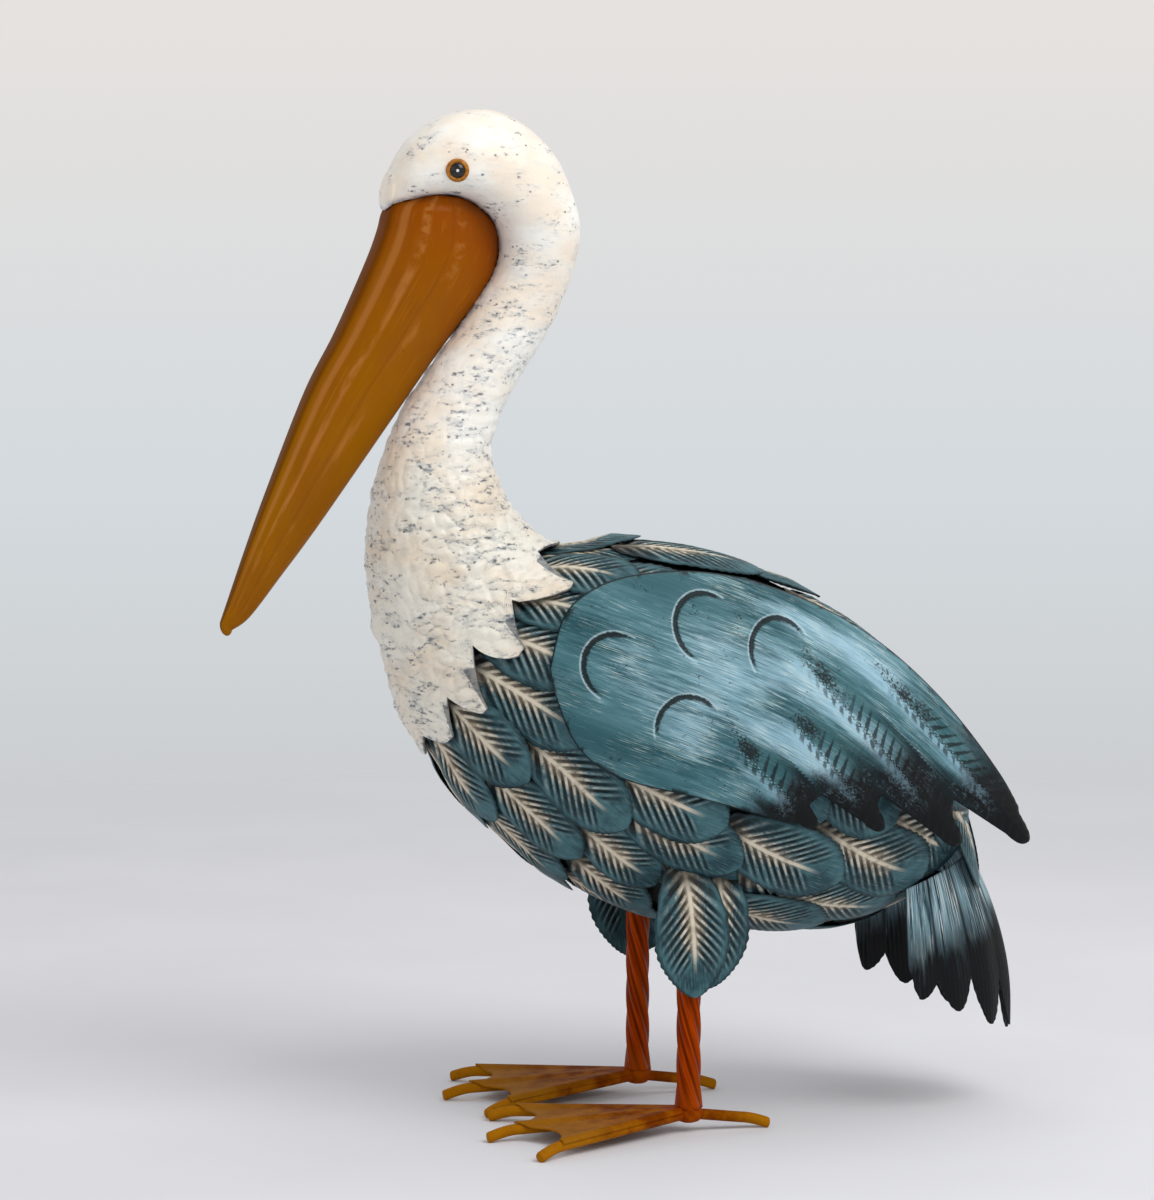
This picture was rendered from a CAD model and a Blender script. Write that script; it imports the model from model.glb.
# Pelican yard statue: hammered white neck, stamped feathers, brushed teal wings, bar legs
import math
import random

import bmesh
import bpy
import numpy as np
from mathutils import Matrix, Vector, noise
from mathutils.bvhtree import BVHTree


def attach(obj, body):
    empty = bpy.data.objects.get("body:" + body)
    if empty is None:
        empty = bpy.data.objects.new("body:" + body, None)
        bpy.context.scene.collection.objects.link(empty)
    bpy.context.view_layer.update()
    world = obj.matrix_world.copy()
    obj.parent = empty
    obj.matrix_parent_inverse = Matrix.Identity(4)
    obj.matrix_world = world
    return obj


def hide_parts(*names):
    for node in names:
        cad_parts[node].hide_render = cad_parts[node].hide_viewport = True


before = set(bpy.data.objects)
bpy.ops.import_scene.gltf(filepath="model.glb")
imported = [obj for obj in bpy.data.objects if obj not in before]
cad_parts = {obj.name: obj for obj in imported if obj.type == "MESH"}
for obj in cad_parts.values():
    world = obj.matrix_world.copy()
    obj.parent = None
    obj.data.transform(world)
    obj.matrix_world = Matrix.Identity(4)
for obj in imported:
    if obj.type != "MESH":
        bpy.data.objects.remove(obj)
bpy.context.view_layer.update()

metre = 0.001          # the shapes below are worked out in millimetres
lengthCentre = 7.0     # taken off every X, so that the statue stands over the origin


# Small sums on arrays
def smooth(value, low, high):
    share = np.clip((np.asarray(value, float) - low) / (high - low), 0, 1)
    return share * share * (3 - 2 * share)


def lerp(first, last, share):
    return first + (last - first) * share


def unit(vectors):
    return vectors / np.maximum(np.linalg.norm(vectors, axis=-1, keepdims=True), 1e-9)


def between(table, place):           # values between the rows of a table, on a smooth curve
    rows = np.asarray(table, float)
    i = np.clip(np.floor(place).astype(int), 0, len(rows) - 2)
    t = (place - i)[..., None]
    a, b, c, d = (rows[np.clip(i + k, 0, len(rows) - 1)] for k in (-1, 0, 1, 2))
    return b + 0.5 * t * (c - a + t * (2 * a - 5 * b + 4 * c - d + t * (3 * (b - c) + d - a)))


def curveThrough(points, steps=10):
    return between(points, np.linspace(0, len(points) - 1, (len(points) - 1) * steps + 1))


def space(x, y, z):
    return np.stack(np.broadcast_arrays(x, y, z), axis=-1).astype(float)


# Meshes: every sheet and skin starts as a flat grid, which is then laid in its place
def readValues(items, key, width=1, kind=np.float64):
    values = np.empty(len(items) * width, dtype=kind)
    items.foreach_get(key, values)
    return values.reshape(-1, width) if width > 1 else values


def readPoints(mesh):
    return readValues(mesh.vertices, "co", 3)


def writePoints(mesh, points):
    mesh.vertices.foreach_set("co", np.ascontiguousarray(points, dtype=np.float32).ravel())
    mesh.update()


def addMarks(mesh, marks):           # numbers on the points, which the paints read
    corners = readValues(mesh.loops, "vertex_index", kind=np.int32)
    for name, values in marks.items():
        if name == "skin":
            layer = mesh.uv_layers.new(name="skin")
            flat = np.stack(values, axis=-1)[corners] * 0.01
            layer.data.foreach_set("uv", flat.astype(np.float32).ravel())
        else:
            layer = mesh.attributes.new(name, "FLOAT", "POINT")
            full = np.broadcast_to(values, len(mesh.vertices)).astype(np.float32)
            layer.data.foreach_set("value", np.ascontiguousarray(full))


def meshOf(name, bm):                # ends the work on bm
    mesh = bpy.data.meshes.new(name)
    bm.to_mesh(mesh)
    bm.free()
    return mesh


def layGrid(name, columns, rows, place):
    bm = bmesh.new()
    bmesh.ops.create_grid(bm, x_segments=columns, y_segments=rows, size=0.5)
    mesh = meshOf(name, bm)
    flat = readPoints(mesh)
    points, marks = place(flat[:, 0] + 0.5, flat[:, 1] + 0.5)
    addMarks(mesh, marks)
    writePoints(mesh, points)
    return mesh


def weld(mesh, closed=True, outward=None, gap=0.004):
    bm = bmesh.new()
    bm.from_mesh(mesh)
    bmesh.ops.remove_doubles(bm, verts=bm.verts, dist=gap)
    if closed:
        bmesh.ops.recalc_face_normals(bm, faces=bm.faces)
    else:
        bm.normal_update()
        outwards = [Vector(outward(face.calc_center_median())) for face in bm.faces]
        if sum(face.normal.dot(way) for face, way in zip(bm.faces, outwards)) < 0:
            bmesh.ops.reverse_faces(bm, faces=bm.faces)
    bm.to_mesh(mesh)
    bm.free()
    mesh.update()
    return mesh


def joinMeshes(name, meshes):
    bm = bmesh.new()
    for mesh in meshes:
        bm.from_mesh(mesh)
    return meshOf(name, bm)


def treeOf(mesh):
    faces = [list(face.vertices) for face in mesh.polygons]
    return BVHTree.FromPolygons([Vector(point) for point in readPoints(mesh)], faces)


def domed(ring, middle, pole, turn):   # from a ring, at a turn of 0, up to its pole at a quarter turn
    return middle + (ring - middle) * np.cos(turn) + (pole - middle) * np.sin(turn)


def mirrored(mesh):
    other = mesh.copy()
    writePoints(other, readPoints(other) * (1, -1, 1))
    bm = bmesh.new()
    bm.from_mesh(other)
    bmesh.ops.reverse_faces(bm, faces=bm.faces)
    bm.to_mesh(other)
    bm.free()
    return other


def addObject(name, data):
    thing = bpy.data.objects.new(name, data)
    bpy.context.collection.objects.link(thing)
    return thing


def addPiece(name, mesh, paint, slot, *replaced, wall=0.0):
    writePoints(mesh, (readPoints(mesh) - (lengthCentre, 0, 0)) * metre)
    mesh.materials.clear()
    mesh.materials.append(paint)
    mesh.shade_smooth()
    piece = addObject(name, mesh)
    if wall:
        solid = piece.modifiers.new("wall", "SOLIDIFY")
        solid.thickness = wall * metre
        solid.offset = -1
    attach(piece, "root")
    if replaced:
        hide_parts(*replaced)
    return piece


def addPair(name, mesh, paint, slot, node=None, wall=0.0):
    other = mirrored(mesh)
    for side, form in (("left", mesh), ("right", other)):
        replaced = [f"{side}_{node}"] if node else []
        addPiece(f"{side}_{name}", form, paint, slot, *replaced, wall=wall)


# Shader nodes: a socket that can be added, scaled and compared as a number
class Wire:
    def __init__(self, nodes, socket):
        self.nodes = nodes
        self.socket = socket

    def sum(self, operation, first, second):
        return self.nodes.add("ShaderNodeMath", {"operation": operation}, [first, second])

    def __add__(self, other):
        return self.sum("ADD", self, other)

    def __radd__(self, other):
        return self.sum("ADD", other, self)

    def __sub__(self, other):
        return self.sum("SUBTRACT", self, other)

    def __rsub__(self, other):
        return self.sum("SUBTRACT", other, self)

    def __mul__(self, other):
        return self.sum("MULTIPLY", self, other)

    def __rmul__(self, other):
        return self.sum("MULTIPLY", other, self)

    def __abs__(self):
        return self.sum("ABSOLUTE", self, 0.0)

    def most(self, other):
        return self.sum("MAXIMUM", self, other)

    def least(self, other):
        return self.sum("MINIMUM", self, other)

    def wave(self):                  # 0 to 1 and back once in every whole number
        return self.sum("PINGPONG", self, 0.5) * 2

    def within(self, low, high):     # 0 on the side of low, 1 on the side of high
        return self.nodes.add(
            "ShaderNodeMapRange", {"interpolation_type": "SMOOTHSTEP"},
            {"Value": self, "From Min": low, "From Max": high},
        )


class Nodes:
    def __init__(self, tree, shader):
        self.tree = tree
        self.shader = tree.nodes[shader]

    def add(self, kind, settings=None, values=None, output=0):
        node = self.tree.nodes.new(kind)
        for key, value in (settings or {}).items():
            if key == "stops":
                self.setStops(node.color_ramp, value)
            else:
                setattr(node, key, value)
        pairs = values.items() if isinstance(values, dict) else enumerate(values or [])
        for place, value in pairs:
            if isinstance(value, Wire):
                self.tree.links.new(value.socket, node.inputs[place])
            else:
                node.inputs[place].default_value = value
        return Wire(self, node.outputs[output])

    def setStops(self, ramp, stops):
        while len(ramp.elements) < len(stops):
            ramp.elements.new(0.5)
        for element, (place, colour) in zip(ramp.elements, stops):
            element.position = place
            element.color = colour

    def feed(self, socket, value):
        self.tree.links.new(value.socket, self.shader.inputs[socket])


class Paint(Nodes):
    def __init__(self, name, constants):
        self.material = bpy.data.materials.new(name)
        self.material.use_nodes = True
        super().__init__(self.material.node_tree, "Principled BSDF")
        for socket, value in constants.items():
            self.shader.inputs[socket].default_value = value

    def mark(self, name):
        return self.add("ShaderNodeAttribute", {"attribute_name": name}, output="Fac")

    def marks(self, *names):
        return [self.mark(name) for name in names]

    def object(self, *sizes):        # object coordinates, in lengths of one or three sizes
        there = self.add("ShaderNodeTexCoord", output="Object")
        sizes = sizes * 3 if len(sizes) == 1 else sizes
        return self.scaled(there, [1 / (size * metre) for size in sizes])

    def skin(self, along, across):   # the piece's own flat pattern, in the same way
        there = self.add("ShaderNodeUVMap", {"uv_map": "skin"})
        return self.scaled(there, [100 / along, 100 / across, 1])

    def scaled(self, vector, scale):
        return self.add("ShaderNodeMapping", None, {"Vector": vector, "Scale": scale})

    def noise(self, vector, detail, rough):
        values = {"Vector": vector, "Scale": 1.0, "Detail": detail, "Roughness": rough}
        return self.add("ShaderNodeTexNoise", None, values)

    def cells(self, vector):
        return self.add("ShaderNodeTexVoronoi", None, {"Vector": vector, "Scale": 1.0}, "Distance")

    def blend(self, share, first, last, how="MIX"):
        settings = {"data_type": "RGBA", "blend_type": how}
        return self.add("ShaderNodeMix", settings, {0: share, 6: first, 7: last}, output=2)

    def ground(self, share, first, last):      # the two colours that a piece is painted with first
        self.colour = self.blend(share, first, last)

    def coat(self, share, colour, how="MIX"):  # one more colour over the last, by its share
        self.colour = self.blend(share, self.colour, colour, how)

    def bump(self, height, depth, strength):   # depth in millimetres
        values = {"Height": height, "Distance": depth * metre, "Strength": strength}
        self.feed("Normal", self.add("ShaderNodeBump", None, values))

    def dry(self, rough, gloss=None):          # gloss is the weight of the coat
        self.feed("Base Color", self.colour)
        self.feed("Roughness", rough)
        if gloss is not None:
            self.feed("Coat Weight", gloss)
        return self.material


def ink(red, green, blue):           # a colour as seen on the screen, from 0 to 255
    def light(part):
        part = part / 255
        return part / 12.92 if part <= 0.04045 else ((part + 0.055) / 1.055) ** 2.4
    return (light(red), light(green), light(blue), 1.0)


# The body is an egg about a slanting axis, with stations s along it from front to rump
egg = {
    "x": -108, "z": 266.6, "slope": math.radians(-20.8),
    "front": -20, "widest": 155, "rear": 330,
    "radius": 98, "widthRatio": 0.93,
    "frontFullness": 0.8, "rearFullness": 0.6,
    "columns": 96, "rows": 72,
}
axisAlong = np.array([math.cos(egg["slope"]), math.sin(egg["slope"])])
axisUp = np.array([-math.sin(egg["slope"]), math.cos(egg["slope"])])


def bodyRadius(s):
    s = np.asarray(s, float)
    ahead = s < egg["widest"]
    reach = np.where(ahead, egg["widest"] - egg["front"], egg["rear"] - egg["widest"])
    fullness = np.where(ahead, egg["frontFullness"], egg["rearFullness"])
    return egg["radius"] * np.maximum(1e-4, 1 - ((s - egg["widest"]) / reach) ** 2) ** fullness


def roundAxis(s, theta, radius):
    up = radius * np.cos(theta)
    x = egg["x"] + s * axisAlong[0] + up * axisUp[0]
    z = egg["z"] + s * axisAlong[1] + up * axisUp[1]
    return space(x, -egg["widthRatio"] * radius * np.sin(theta), z)


def bodySlope(s):                    # the station, kept on the body, and how the body widens there
    station = np.clip(s, egg["front"] + 2, egg["rear"] - 2)
    return station, (bodyRadius(station + 1) - bodyRadius(station - 1)) / 2


def bodyPoint(s, theta, lift=0.0):
    station, slope = bodySlope(s)
    stretch = np.hypot(1, slope)
    return roundAxis(s - lift * slope / stretch, theta, bodyRadius(station) + lift / stretch)


def bodyNormal(s, theta):
    return unit(bodyPoint(s, theta, 1.0) - bodyPoint(s, theta))


def bodyPlace(points):               # station, angle and height over the body
    aside = points[..., 0] - egg["x"]
    above = points[..., 2] - egg["z"]
    s = aside * axisAlong[0] + above * axisAlong[1]
    up = aside * axisUp[0] + above * axisUp[1]
    across = -points[..., 1] / egg["widthRatio"]
    station, slope = bodySlope(s)
    height = (np.hypot(up, across) - bodyRadius(station)) / np.hypot(1, slope)
    return s, np.arctan2(across, up), height


def placeEgg(u, v):
    reach = np.where(v < 0.5, egg["widest"] - egg["front"], egg["rear"] - egg["widest"])
    s = egg["widest"] - np.cos(math.pi * v) * reach
    radius = np.where((v <= 0) | (v >= 1), 0, bodyRadius(s))
    return roundAxis(s, 2 * math.pi * u, radius), {}


# Neck and head
neck = {
    "columns": 280, "hemRows": 74, "bodyRows": 208, "browRows": 12, "joinsAt": 1.2,
    "start": 4.8, "rise": 0.1, "riseFrom": 16,    # outer face of the hem over the body
    "rim": 1.5,                                   # thickness of the hem's edge
    "toothRound": 0.05, "toothHollow": 0.82,      # how blunt the teeth are, how hollow their sides
    "clear": 1.2, "ease": 4.0,                    # least height over the body, and its soft turn
    "girth": 62, "rimReach": 40,                  # radius that the hem is measured flat at
    "bump": 1.15, "cell": 9, "cellHeight": 6.2,   # hammered scales on the chest
    "wrinkle": 0.75, "fold": 24, "foldHeight": 3.6, "dent": 0.5, "dentSize": 21,
}
hemTips = [[0, 56], [45, 60], [79, 44], [110.5, 38], [137, 30], [180, 27]]
hemValleys = [[34, 37], [67, 28], [96.5, 16.5], [122, 15], [158, 16]]
# Stations: back X Z, front X Z, half width, widest point, squareness of the front
neckStations = [
    [-49.5, 330, -116, 233, 50, 0.5, 2.0], [-51.5, 332.5, -128, 262, 48, 0.5, 2.1],
    [-54, 335, -135, 290, 45, 0.5, 2.1], [-58, 340.5, -137.5, 316, 41, 0.5, 2.1],
    [-64.5, 353, -135, 342, 36, 0.5, 2.0], [-68.8, 369, -128.7, 366.7, 31, 0.5, 2.0],
    [-64.9, 385.5, -118, 391, 27.5, 0.5, 2.0], [-56.5, 402.6, -104, 413, 25, 0.5, 2.0],
    [-43, 424.4, -88, 435, 23.5, 0.5, 2.0], [-31.8, 445, -75, 455.5, 23.5, 0.5, 2.1],
    [-23, 467, -66, 470, 26, 0.52, 2.3], [-19.2, 489, -64.6, 484, 30, 0.55, 2.5],
    [-23.6, 509.5, -68.5, 494.5, 33, 0.58, 2.6], [-34, 531, -77.5, 502.5, 35, 0.6, 2.8],
    [-52, 547.6, -87, 506.5, 36, 0.6, 3.0], [-72, 554.6, -97, 507.5, 35.5, 0.6, 3.0],
    [-95, 551, -107, 506.2, 32.5, 0.56, 2.8], [-113.5, 538.5, -117, 503.5, 26.5, 0.53, 2.5],
    [-124.3, 521.5, -124.5, 501, 17, 0.5, 2.3],
]
browMiddle = np.array([-124.3, 0, 510])
browPoint = np.array([-129, 0, 505])
crown = len(neckStations)            # the row that the neck ends and the brow starts at
innerRows = [-4, -3, -2, -1, -0.5]   # rows inside the hem, from the point that closes the skin


def hemRise(s, theta):               # the hem stands off less at the nape
    off = neck["rise"] * lerp(0.3, 1, smooth(1 - np.cos(theta), 0.1, 0.5))
    return neck["start"] + off * np.maximum(0, s - neck["riseFrom"])


def onCorners(corners, u):           # corner before each place, the way on from it, both its ends
    count = len(corners) - 1
    i = np.clip(np.floor(u * count).astype(int), 0, count - 1)
    return i, u * count - i, corners[i], corners[i + 1]


def hemCorners():
    half = [corner for pair in zip(hemTips, hemValleys) for corner in pair] + [hemTips[-1]]
    other = [[360 - angle, s] for angle, s in reversed(half[:-1])]
    return np.array(half + other, float)


def hemAt(u):                        # angle and station of the zigzag, once round for u from 0 to 1
    i, t, first, last = onCorners(hemCorners(), u)
    fromTip = i % 2 == 0
    blunt = neck["toothRound"]
    offTip = np.where(fromTip, t, 1 - t)
    share = (np.hypot(offTip, blunt) - blunt) / (math.hypot(1, blunt) - blunt)
    share = share ** neck["toothHollow"]
    share = np.where(fromTip, share, 1 - share)
    return np.radians(lerp(first[:, 0], last[:, 0], t)), lerp(first[:, 1], last[:, 1], share)


hemAngles, hemStations = hemAt(np.linspace(0, 1, 1601))


def pastHem(s, theta):               # how far a place lies behind the edge of the hem
    return s - np.interp(np.mod(theta, 2 * math.pi), hemAngles, hemStations)


def neckPoint(place, theta):
    values = np.moveaxis(between(neckStations, place), -1, 0)
    backX, backZ, frontX, frontZ, halfWidth, widest, square = values
    back = np.cos(theta)
    power = np.where(back < 0, 2 / square, 1.0)
    along = np.where(back < 0, widest + (1 - widest) * np.abs(back) ** power, widest * (1 - back))
    across = np.sign(np.sin(theta)) * np.abs(np.sin(theta)) ** power
    return space(lerp(backX, frontX, along), -halfWidth * across, lerp(backZ, frontZ, along))


def offHem(points):                  # the least distance from the edge of the hem
    u = np.linspace(-0.08, 1.08, 520)
    angle, station = hemAt(np.mod(u, 1.0))
    angle = angle + 2 * math.pi * np.floor(u)
    edge = np.stack([station, angle * neck["girth"]], axis=-1)
    edge = np.vstack([edge, [[-300, edge[-1, 1]], [-300, edge[0, 1]]]])
    s, theta = bodyPlace(points)[:2]
    place = np.stack([s, np.mod(theta, 2 * math.pi) * neck["girth"]], axis=-1)
    far = np.full(len(points), float(neck["rimReach"]))
    close = s < 90
    far[close] = np.minimum(-fromOutline(place[close], edge)[0], neck["rimReach"])
    return np.maximum(far, 0)


def tipLine(theta):                  # the smooth line through the tips of the teeth
    angles, stations = curveThrough(hemTips).T
    turn = np.degrees(np.mod(theta, 2 * math.pi))
    return np.interp(np.minimum(turn, 360 - turn), angles, stations)


def restOnBody(points, room, ease):  # kept over the body by some room, with a soft turn
    s, theta, height = bodyPlace(points)
    over = height - room
    wanted = 0.5 * (over + np.sqrt(over * over + ease * ease)) + room
    return points + bodyNormal(s, theta) * (wanted - height)[:, None]


def hemSurface(theta, t):            # from the teeth's tips, along the body, up into the neck
    station = tipLine(theta)
    rise = hemRise(station, theta)
    start = bodyPoint(station, theta, rise)
    startRun = unit(bodyPoint(station - 2, theta, rise - 0.2) - start)
    join = np.full_like(theta, neck["joinsAt"])
    end = neckPoint(join, theta)
    endRun = unit(neckPoint(join + 0.4, theta) - end)
    reach = np.linalg.norm(end - start, axis=1)
    far = t * reach
    t, reach = t[:, None], reach[:, None]
    points = (1 + 2 * t) * (1 - t) ** 2 * start + t * t * (3 - 2 * t) * end
    points = points + t * (1 - t) ** 2 * reach * startRun - t * t * (1 - t) * reach * endRun
    room = lerp(rise, neck["clear"], smooth(far, 18, 55))
    return restOnBody(points, room, neck["ease"] * smooth(far, 4, 30) + 0.05), reach[:, 0]


def hemStart(theta, station):        # where on that surface each place of the zigzag lies
    t = np.linspace(0, 0.7, 36)
    grid, turn = np.meshgrid(t, theta)
    s = bodyPlace(hemSurface(turn.ravel(), grid.ravel())[0])[0].reshape(grid.shape)
    s = np.minimum.accumulate(s, axis=1)
    return np.array([np.interp(-wanted, -row, t) for wanted, row in zip(station, s)])


def neckRows():                      # 0 is the outer edge of the hem
    hem = np.linspace(0, 1, neck["hemRows"]) ** 1.15
    neckPart = np.linspace(1 + neck["joinsAt"], crown, neck["bodyRows"])[1:]
    brow = np.linspace(crown, crown + 1, neck["browRows"] + 1)[1:]
    return np.concatenate([innerRows, hem, neckPart, brow])


def placeNeck(u, v):
    rows = neckRows()
    q = rows[np.round(v * (len(rows) - 1)).astype(int)]
    columns = np.linspace(0, 1, neck["columns"] + 1)
    starts = hemStart(*hemAt(columns))
    theta = hemAt(u)[0]
    first = np.interp(u, columns, starts)
    inside = np.interp(q, innerRows + [0], [30, 12, 4, 0.5, 0, 0.25])
    drop = np.interp(q, innerRows + [0], [2.0, 2.0, neck["rim"], neck["rim"], 0.6, 0])
    low = q <= 1
    reach = hemSurface(theta[low], first[low])[1]
    t = first[low] + np.where(q[low] > 0, (1 - first[low]) * q[low], inside[low] / reach)
    points = np.zeros((len(q), 3))
    points[low] = hemSurface(theta[low], t)[0]
    s, turn = bodyPlace(points[low])[:2]
    points[low] -= bodyNormal(s, turn) * drop[low][:, None]
    points[q <= innerRows[0]] = roundAxis(30.0, 0.0, 0.0)
    upper = (q > 1) & (q <= crown)
    points[upper] = neckPoint(q[upper] - 1, theta[upper])
    chest = (q > 1) & (q < 4)
    points[chest] = restOnBody(points[chest], neck["clear"], neck["ease"])
    brow = q > crown
    ring = neckPoint(np.full(brow.sum(), crown - 1.0), theta[brow])
    turn = ((q[brow] - crown) * math.pi / 2)[:, None]
    points[brow] = domed(ring, browMiddle, browPoint, turn)
    return points, {"rim": np.where(q > 0, offHem(points), 0)}


def hammer(mesh):                    # scale-like bumps on the chest, wrinkles on the neck
    points = readPoints(mesh)
    normals = readValues(mesh.vertices, "normal", 3)
    rim = readValues(mesh.attributes["rim"].data, "value", kind=np.float32)
    height = points[:, 2]
    head = smooth(height, 425, 500)
    chest = 1 - smooth(height, 330, 400)
    push = np.zeros(len(points))
    crease = np.zeros(len(points))
    for i, point in enumerate(points):
        place = Vector(point)
        z = place.z + noise.noise(place * 0.05) * 5
        flat = Vector((place.x / neck["cell"], place.y / neck["cell"], z / neck["cellHeight"]))
        cell, seeds = noise.voronoi(flat)
        gap = cell[1] - cell[0]
        level = abs((seeds[1] - seeds[0]).normalized().z) ** 1.5
        crease[i] = (1 - min(gap / 0.36, 1)) * (0.15 + 0.85 * level)
        flat = Vector((place.x / neck["fold"], place.y / neck["fold"], z / neck["foldHeight"]))
        wrinkle = neck["wrinkle"] * noise.noise(flat) * (1 - 0.8 * head[i])
        dent = neck["dent"] * noise.noise(place / neck["dentSize"]) * (1 - 0.6 * head[i])
        scale = (min(gap / 0.5, 1) ** 0.7 - 0.6) * (0.35 + 0.65 * chest[i]) * (1 - 0.85 * head[i])
        push[i] = neck["bump"] * scale + wrinkle + dent
    push *= smooth(rim, 0.0, 7.0)
    writePoints(mesh, points + normals * push[:, None])
    addMarks(mesh, {"crease": crease * (1 - 0.7 * head), "chest": chest})


# Bill: flat culmen in front, a ridge down each side and a thin edge behind
bill = {"columns": 96, "rows": 190, "capRows": 10, "culmenShare": 0.09, "ridge": 0.55}
billStations = [                     # from the tip up: front X Z, back X Z, half width, half culmen
    [-217.5, 278.5, -211.2, 274, 3.2, 2.6], [-213.5, 289.5, -201.5, 281, 6, 4],
    [-203, 319, -185, 302, 9.5, 6], [-192, 348.5, -163, 331, 12.5, 7.5],
    [-170.5, 402, -122.5, 388, 17.5, 10], [-153.5, 434.5, -94.5, 427, 20.5, 11.5],
    [-136.5, 472, -71, 456, 23, 12.5], [-130, 489, -64.6, 471, 24, 13],
    [-127.4, 498.5, -63.5, 484, 24, 13], [-123.5, 504, -66.5, 495.5, 23, 12],
    [-114, 507, -76.5, 504, 20, 10],
]
billTip = np.array([-215.4, 0, 271.5])
billCrown = np.array([-95, 0, 509])
# Half section from the culmen's edge to the back: along, share of the culmen, share of the width
billSection = [
    [0.015, 1, 0], [0.16, 0.38, 0.62], [0.36, 0, 1], [0.62, 0, 0.83], [0.84, 0, 0.5], [0.96, 0, 0.2],
    [1, 0, 0],
]


def billPoint(place, t):             # t from -1 to 1, once round from the back edge over the front
    values = np.moveaxis(between(billStations, place), -1, 0)
    frontX, frontZ, backX, backZ, halfWidth, culmen = values
    share = np.abs(t)
    flat = share < bill["culmenShare"]
    onFlat = share / bill["culmenShare"]
    onSide = (share - bill["culmenShare"]) / (1 - bill["culmenShare"]) * (len(billSection) - 1)
    section = between(billSection, np.clip(onSide, 0, None))
    along, culmenPart, widthPart = np.moveaxis(section, -1, 0)
    along = np.where(flat, 0.015 * onFlat ** 2, along)
    across = np.where(flat, culmen * onFlat, culmen * culmenPart + halfWidth * widthPart)
    ridge = np.exp(-((along - 0.5) / 0.028) ** 2) - 0.6 * np.exp(-((along - 0.57) / 0.05) ** 2)
    across = across + bill["ridge"] * ridge * np.clip(halfWidth / 12, 0, 1)
    x = lerp(frontX, backX, along)
    z = lerp(frontZ, backZ, along)
    return space(x, -np.sign(t) * across, z), along


def placeBill(u, v):
    count = bill["rows"] + 2 * bill["capRows"]
    row = np.round(v * count)
    top = len(billStations) - 1
    place = np.clip((row - bill["capRows"]) / bill["rows"], 0, 1) * top
    t = 2 * u - 1
    t = np.sign(t) * np.abs(t) ** 1.1
    points, along = billPoint(place, t)
    beyond = [                       # rows past each end
        (bill["capRows"] - row, 0, billTip), (row - bill["capRows"] - bill["rows"], top, billCrown),
    ]
    for past, station, pole in beyond:
        cap = past > 0
        ring, alongCap = billPoint(np.full(cap.sum(), float(station)), t[cap])
        frontX, frontZ, backX, backZ = billStations[station][:4]
        middle = np.array([(frontX + backX) / 2, 0, (frontZ + backZ) / 2])
        turn = (past[cap] / bill["capRows"] * math.pi / 2)[:, None]
        points[cap] = domed(ring, middle, pole, turn)
        along[cap] = alongCap
    return points, {"depth": along, "drop": 1 - place / top, "skin": (along * 60, place * 24)}


# Eyes: a turned amber ring with a glossy bead
eye = {
    "x": -93.8, "z": 520.5,
    "ringRadius": 6.3, "ringHeight": 1.6, "ringFoot": 0.2, "ringSunk": 1.5, "overBead": 0.8,
    "beadRadius": 4.3, "beadHeight": 3.3, "beadSide": 0.6, "beadSunk": 1.0,
}


def turned(name, profile, place, columns=40):
    def lay(u, v):
        row = v * (len(profile) - 1)
        radius, height = np.moveaxis(np.array(profile)[np.round(row).astype(int)], -1, 0)
        return place(radius, height, 2 * math.pi * u), {"core": radius}
    return weld(layGrid(name, columns, len(profile) - 1, lay))


def eyePlace(tree):
    hit, normal = tree.ray_cast(Vector((eye["x"], -200, eye["z"])), Vector((0, 1, 0)))[:2]
    normal = Vector(normal)
    if normal.y > 0:
        normal.negate()
    side = normal.cross(Vector((0, 0, 1))).normalized()
    up = side.cross(normal)
    frameRows = np.array([side, up, normal])
    centre = np.array(hit)

    def place(radius, height, turn):
        local = space(radius * np.cos(turn), radius * np.sin(turn), height)
        return centre + local @ frameRows
    return place


def ringProfile():
    arc = np.linspace(0, math.pi, 11)
    outer, inner = eye["ringRadius"], eye["beadRadius"] - eye["overBead"]
    middle, half, foot = (outer + inner) / 2, (outer - inner) / 2, eye["ringFoot"]
    rise = [[middle + half * math.cos(a), foot + eye["ringHeight"] * math.sin(a)] for a in arc]
    return [[0, -eye["ringSunk"]], [outer, -eye["ringSunk"]]] + rise + [[0, foot]]


def beadProfile():
    arc = np.linspace(0, math.pi / 2, 14)
    radius, height, side = eye["beadRadius"], eye["beadHeight"], eye["beadSide"]
    dome = [[radius * math.cos(a), side + (height - side) * math.sin(a)] for a in arc]
    return [[0, -eye["beadSunk"]], [radius, -eye["beadSunk"]]] + dome[:-1] + [[0, height]]


# Wings: a sheet over the body's side, with long fingers behind and pressed crescents
wing = {
    "step": 1.15, "lift": 10.4, "wall": 1.5, "rearDrop": 26, "ridge": 2.2, "ridgeWidth": 8.5,
    "groove": 0.9, "grooveWidth": 1.1, "vein": 0.4, "stroke": 0.35, "strokePitch": 6.4,
    "rimDrop": 0.6, "droop": 0.00153, "droopFrom": 140,   # how the brushing follows the fingers down
    "markReach": 14,                 # how far off a finger's ridge its strokes are painted
}
wingTop = [[55, 10], [54, 35], [61, 52], [79, 69], [110, 84], [144, 92], [180, 93.5],
           [211, 90.5], [243, 81.5], [278, 65], [314, 42], [331, 28]]
wingFingers = [                      # root, tip, width, notch after it
    ([217, 74], [341, 13], 8, [290, 19]), ([168, 68], [300, -1], 8, [247, 8]),
    ([173, 35], [253, -8], 7, [214, -3]), ([152, 8], [216, -19], 6.5, None),
]
wingBottom = [[200, -23.5], [151, -27], [119, -31], [96, -30], [77, -20], [61, -1]]
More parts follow.
